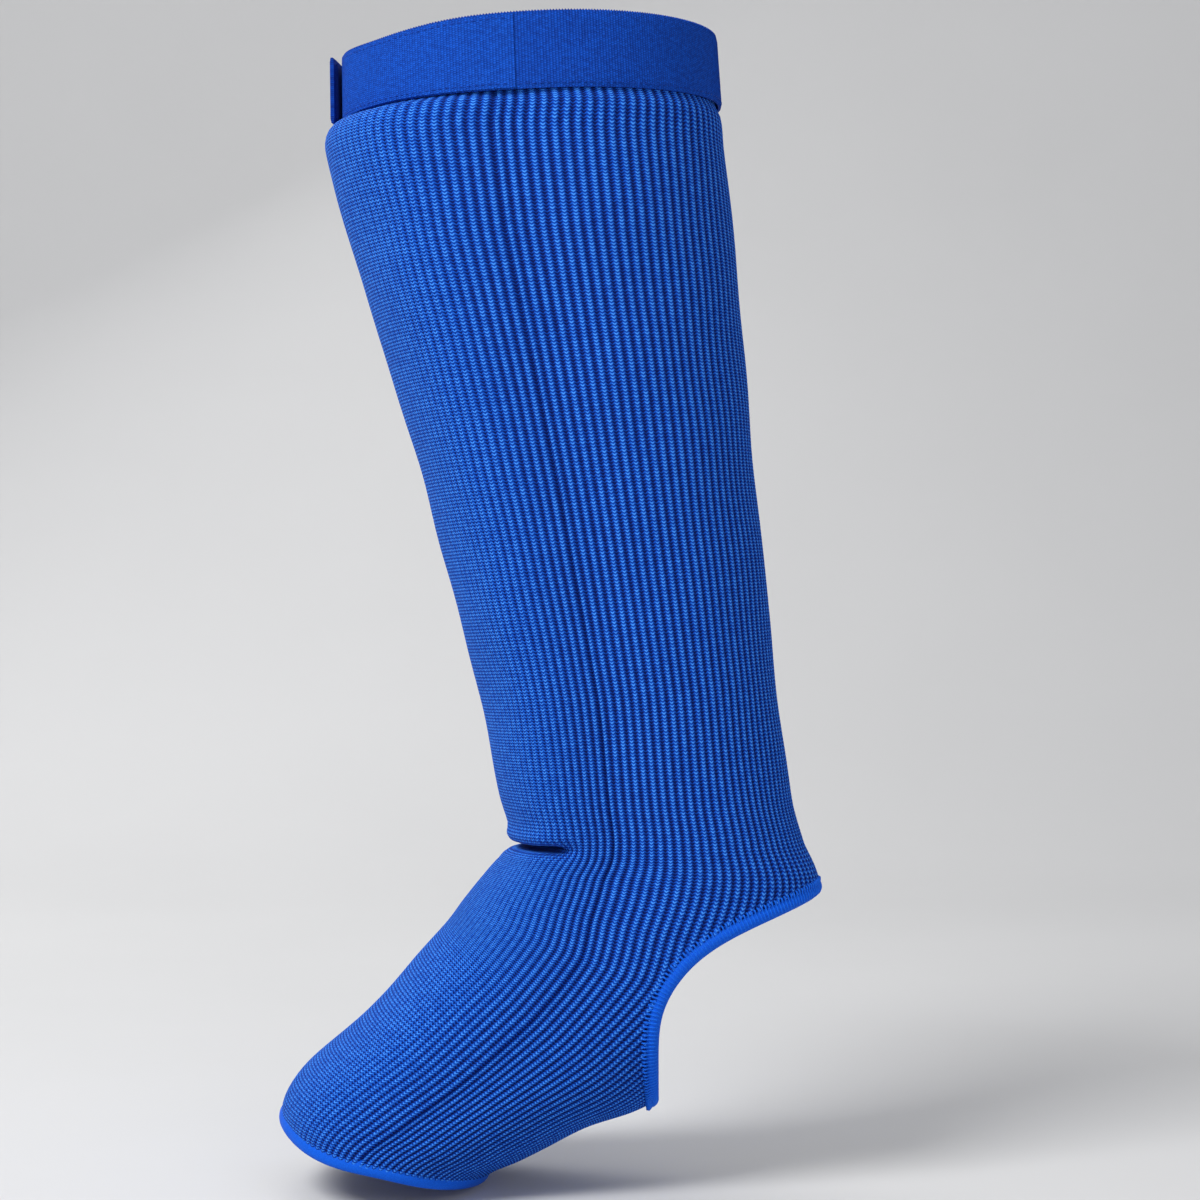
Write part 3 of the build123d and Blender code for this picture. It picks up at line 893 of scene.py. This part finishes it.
# The closure: angles from the front, shares of the band's height, and height above the band
LOOP_ANGLES, LOOP_SHARES, LOOP_ABOVE, LOOP_TAPE = (-84, 50), (0.015, 0.985), 0.02, 0.3
HOOK_ANGLES, HOOK_SHARES, HOOK_ABOVE, HOOK_TAPE = (-3, 46), (0.10, 0.92), 0.6, 0.8
STRAP_ANGLES, STRAP_SHARES, STRAP_ABOVE, STRAP = (-6, 64), (0.02, 1.0), 1.45, 1.3
ROOT_ANGLES, ROOT_ABOVE = (64.3, 98), 0.1
STRAP_SLACK = 0.4  # millimetres that the strap stands off beyond its root
FREE_END_FLARE = 1.6
FLARE_REACH = 12  # degrees over which each of the two grows
BAND_THREAD = (2.6, 2.0, 0.17)  # pitch, length and radius


def rim_rise(angle):
    """Millimetres that the band's upper edge stands above a level line."""
    middle, half = RIM_DIP_ANGLES
    dip = RIM_DIP * np.exp(-(((np.abs(angle) - middle) / half) ** 2))
    return RIM_ARCH * np.sin(np.radians(angle)) ** 2 - dip


def band_surface(share, angle, above):
    share = np.asarray(share)[..., None]
    points = station_surface(BAND_LOW + (BAND_HIGH - BAND_LOW) * share, angle, KNIT_OUTSIDE + above)
    points[..., 2] += share[..., 0] * rim_rise(angle) * MM
    return points


def band_ring_length():
    angles = np.linspace(-180, 180, 721)
    ring = band_surface(np.full_like(angles, 0.5), angles, 0)
    return np.linalg.norm(np.diff(ring, axis=0), axis=1).sum() / MM


def no_flare(angle):
    return 0 * angle


def strap_flare(angle):
    """Millimetres that the strap stands off the band: a little along it, more at its free end."""
    along = np.clip((STRAP_ANGLES[1] - angle) / FLARE_REACH, 0, 1)
    free_end = np.clip((STRAP_ANGLES[0] + FLARE_REACH - angle) / FLARE_REACH, 0, 1)
    return along * STRAP_SLACK + free_end**2 * FREE_END_FLARE


def band_patch(name, mat, angles, shares, above, thickness, rows=TAPE_ROWS, flare=no_flare):
    """A strip of the top band's shape as a closed shell with soft edges; the whole band has teeth."""
    reach = angles[1] - angles[0]
    wrap = reach == 360
    cords = round(band_ring_length() * reach / 360 / CORD)
    columns = cords * CORD_STEPS + (0 if wrap else 1)
    turn = np.linspace(*angles, columns, endpoint=not wrap)
    cord = np.linspace(0, cords, columns, endpoint=not wrap)
    share, angle = np.meshgrid(np.linspace(shares[0], shares[1], rows), turn, indexing="ij")
    cords_grid = np.broadcast_to(cord, share.shape)
    edge = np.minimum(share - shares[0], shares[1] - share) / (shares[1] - shares[0]) * (rows - 1)
    soft = 1 - EDGE_THINNING * np.clip(1 - edge, 0, 1)
    ridge = np.cos(2 * pi * cords_grid)
    tooth = np.zeros_like(share)
    if wrap:
        tooth[-1] = RIM_TOOTH / BAND_HEIGHT * (1 + ridge[-1]) / 2
    middle = above + thickness / 2 + flare(angle)
    outer = band_surface(share + tooth, angle, middle + thickness / 2 * soft + CORD_RELIEF * ridge)
    inner = band_surface(share + tooth, angle, middle - thickness / 2 * soft)
    uvs = np.stack([cords_grid, share * BAND_HEIGHT / WEFT], -1)
    return shell(name, outer, inner, mat, None, wrap, uvs)


def build_band():
    band = band_patch("top_elastic_band", BAND_MAT, (-180, 180), (0, 1), -BAND, BAND, BAND_ROWS)
    on_body(band, "shin", "top_band")
    loops = (LOOP_ANGLES, LOOP_SHARES, LOOP_ABOVE, LOOP_TAPE)
    on_body(band_patch("loop_fastener_tape", LOOP_MAT, *loops), "shin", "loop_tape")
    hooks = (HOOK_ANGLES, HOOK_SHARES, HOOK_ABOVE, HOOK_TAPE, TAPE_ROWS, strap_flare)
    on_body(band_patch("hook_fastener_tape", HOOK_MAT, *hooks), "tab", "hook_tape")
    tab = (STRAP_ANGLES, STRAP_SHARES, STRAP_ABOVE, STRAP, BAND_ROWS, strap_flare)
    on_body(band_patch("strap_free_end", BAND_MAT, *tab), "tab", "strap_tab")
    root = (ROOT_ANGLES, STRAP_SHARES, ROOT_ABOVE, STRAP, BAND_ROWS)
    on_body(band_patch("strap_sewn_end", BAND_MAT, *root), "shin", "strap_root")


def band_row(angles, share, above, flare=no_flare, count=120):
    """A level line on the band, and its outward directions."""
    turn = np.linspace(*angles, count)
    return raised_line(np.full_like(turn, share), turn, above + flare(turn))


def upright_row(angle, shares, above, count=30):
    share = np.linspace(*shares, count)
    return raised_line(share, np.full_like(share, angle), above)


def raised_line(share, turn, above):
    points = band_surface(share, turn, above)
    return points, (band_surface(share, turn, above + 1) - points) / MM


def build_band_threads():
    def row(name, rows, body, node_name):
        on_body(stitch_rows(name, rows, *BAND_THREAD, SEAM_THREAD_MAT), body, node_name)

    around = [band_row((-180, 179), 0.06, 0.05, count=500)]
    row("band_seam", around, "shin", "band_seam_thread")
    loops = [band_row((-82, -9), share, 0.35) for share in (0.07, 0.93)]
    row("loop_tape_seam", loops, "shin", "loop_tape_thread")
    above = STRAP_ABOVE + STRAP + THREAD_GAP * 2
    hooks = [band_row((-4, 45), share, above, strap_flare) for share in (0.16, 0.88)]
    row("hook_tape_seam", hooks, "tab", "hook_tape_thread")
    above = ROOT_ABOVE + STRAP + THREAD_GAP
    box = [upright_row(angle, (0.1, 0.92), above) for angle in (68, 71, 93, 96)]
    row("strap_box_seam", box, "shin", "strap_root_thread")


# ---------------------------------------------------------------- studio

CAMERA_PLACE = (-0.0298, -1.0, 0.0986)
VIEW_SLOPE = 0.2232  # half the view's width at one metre, in metres
FLOOR_GAP = 2 * MM


def area_light(name, place, target, size, power, colour=(1, 1, 1)):
    data = bpy.data.lights.new(name, "AREA")
    data.energy, data.size, data.color = power, size, colour
    obj = bpy.data.objects.new(name, data)
    obj.location = place
    obj.rotation_euler = (Vector(target) - Vector(place)).to_track_quat("-Z", "Y").to_euler()
    bpy.context.scene.collection.objects.link(obj)
    return obj


def build_backdrop():
    """A pale floor that curves up into a wall behind the guard."""
    low = CAD_BOX[0].z - FLOOR_GAP
    wall, bend, front, wide = 1.6, 0.7, -2.6, 4.0
    profile = [(front, low)]
    for i in range(13):
        turn = pi / 2 * i / 12
        profile.append((wall - bend + bend * sin(turn), low + bend - bend * cos(turn)))
    profile.append((wall, low + 3.0))
    verts = [(x, y, z) for y, z in profile for x in (-wide, wide)]
    faces = [(2 * i, 2 * i + 1, 2 * i + 3, 2 * i + 2) for i in range(len(profile) - 1)]
    floor = plain_material("studio_floor", (0.64, 0.64, 0.64), (0.66, 0.66, 0.66), 3, 0.0, 0.9, 0.0)
    new_object("backdrop", verts, faces, floor)


def build_studio():
    scene = bpy.context.scene
    world = bpy.data.worlds.new("studio")
    world.use_nodes = True
    world.node_tree.nodes["Background"].inputs["Color"].default_value = (0.95, 0.96, 1, 1)
    world.node_tree.nodes["Background"].inputs["Strength"].default_value = 0.4
    scene.world = world
    middle = (-0.04, 0, 0.1)
    area_light("key", (-1.0, -1.0, 1.4), middle, 0.8, 33)
    area_light("fill", (0.6, -1.6, 0.3), middle, 1.2, 7)
    area_light("back", (-0.6, 1.0, 1.0), middle, 1.0, 8)
    scene.view_settings.view_transform = "Standard"
    data = bpy.data.cameras.new("camera")
    camera = bpy.data.objects.new("camera", data)
    camera.location = CAMERA_PLACE
    camera.rotation_euler = (pi / 2, 0, 0)
    data.lens_unit = "FOV"
    data.angle = 2 * np.arctan(VIEW_SLOPE)
    scene.collection.objects.link(camera)
    scene.camera = camera


build_sleeve()
build_pockets()
build_bindings()
build_seams()
build_band()
build_band_threads()
build_backdrop()
build_studio()
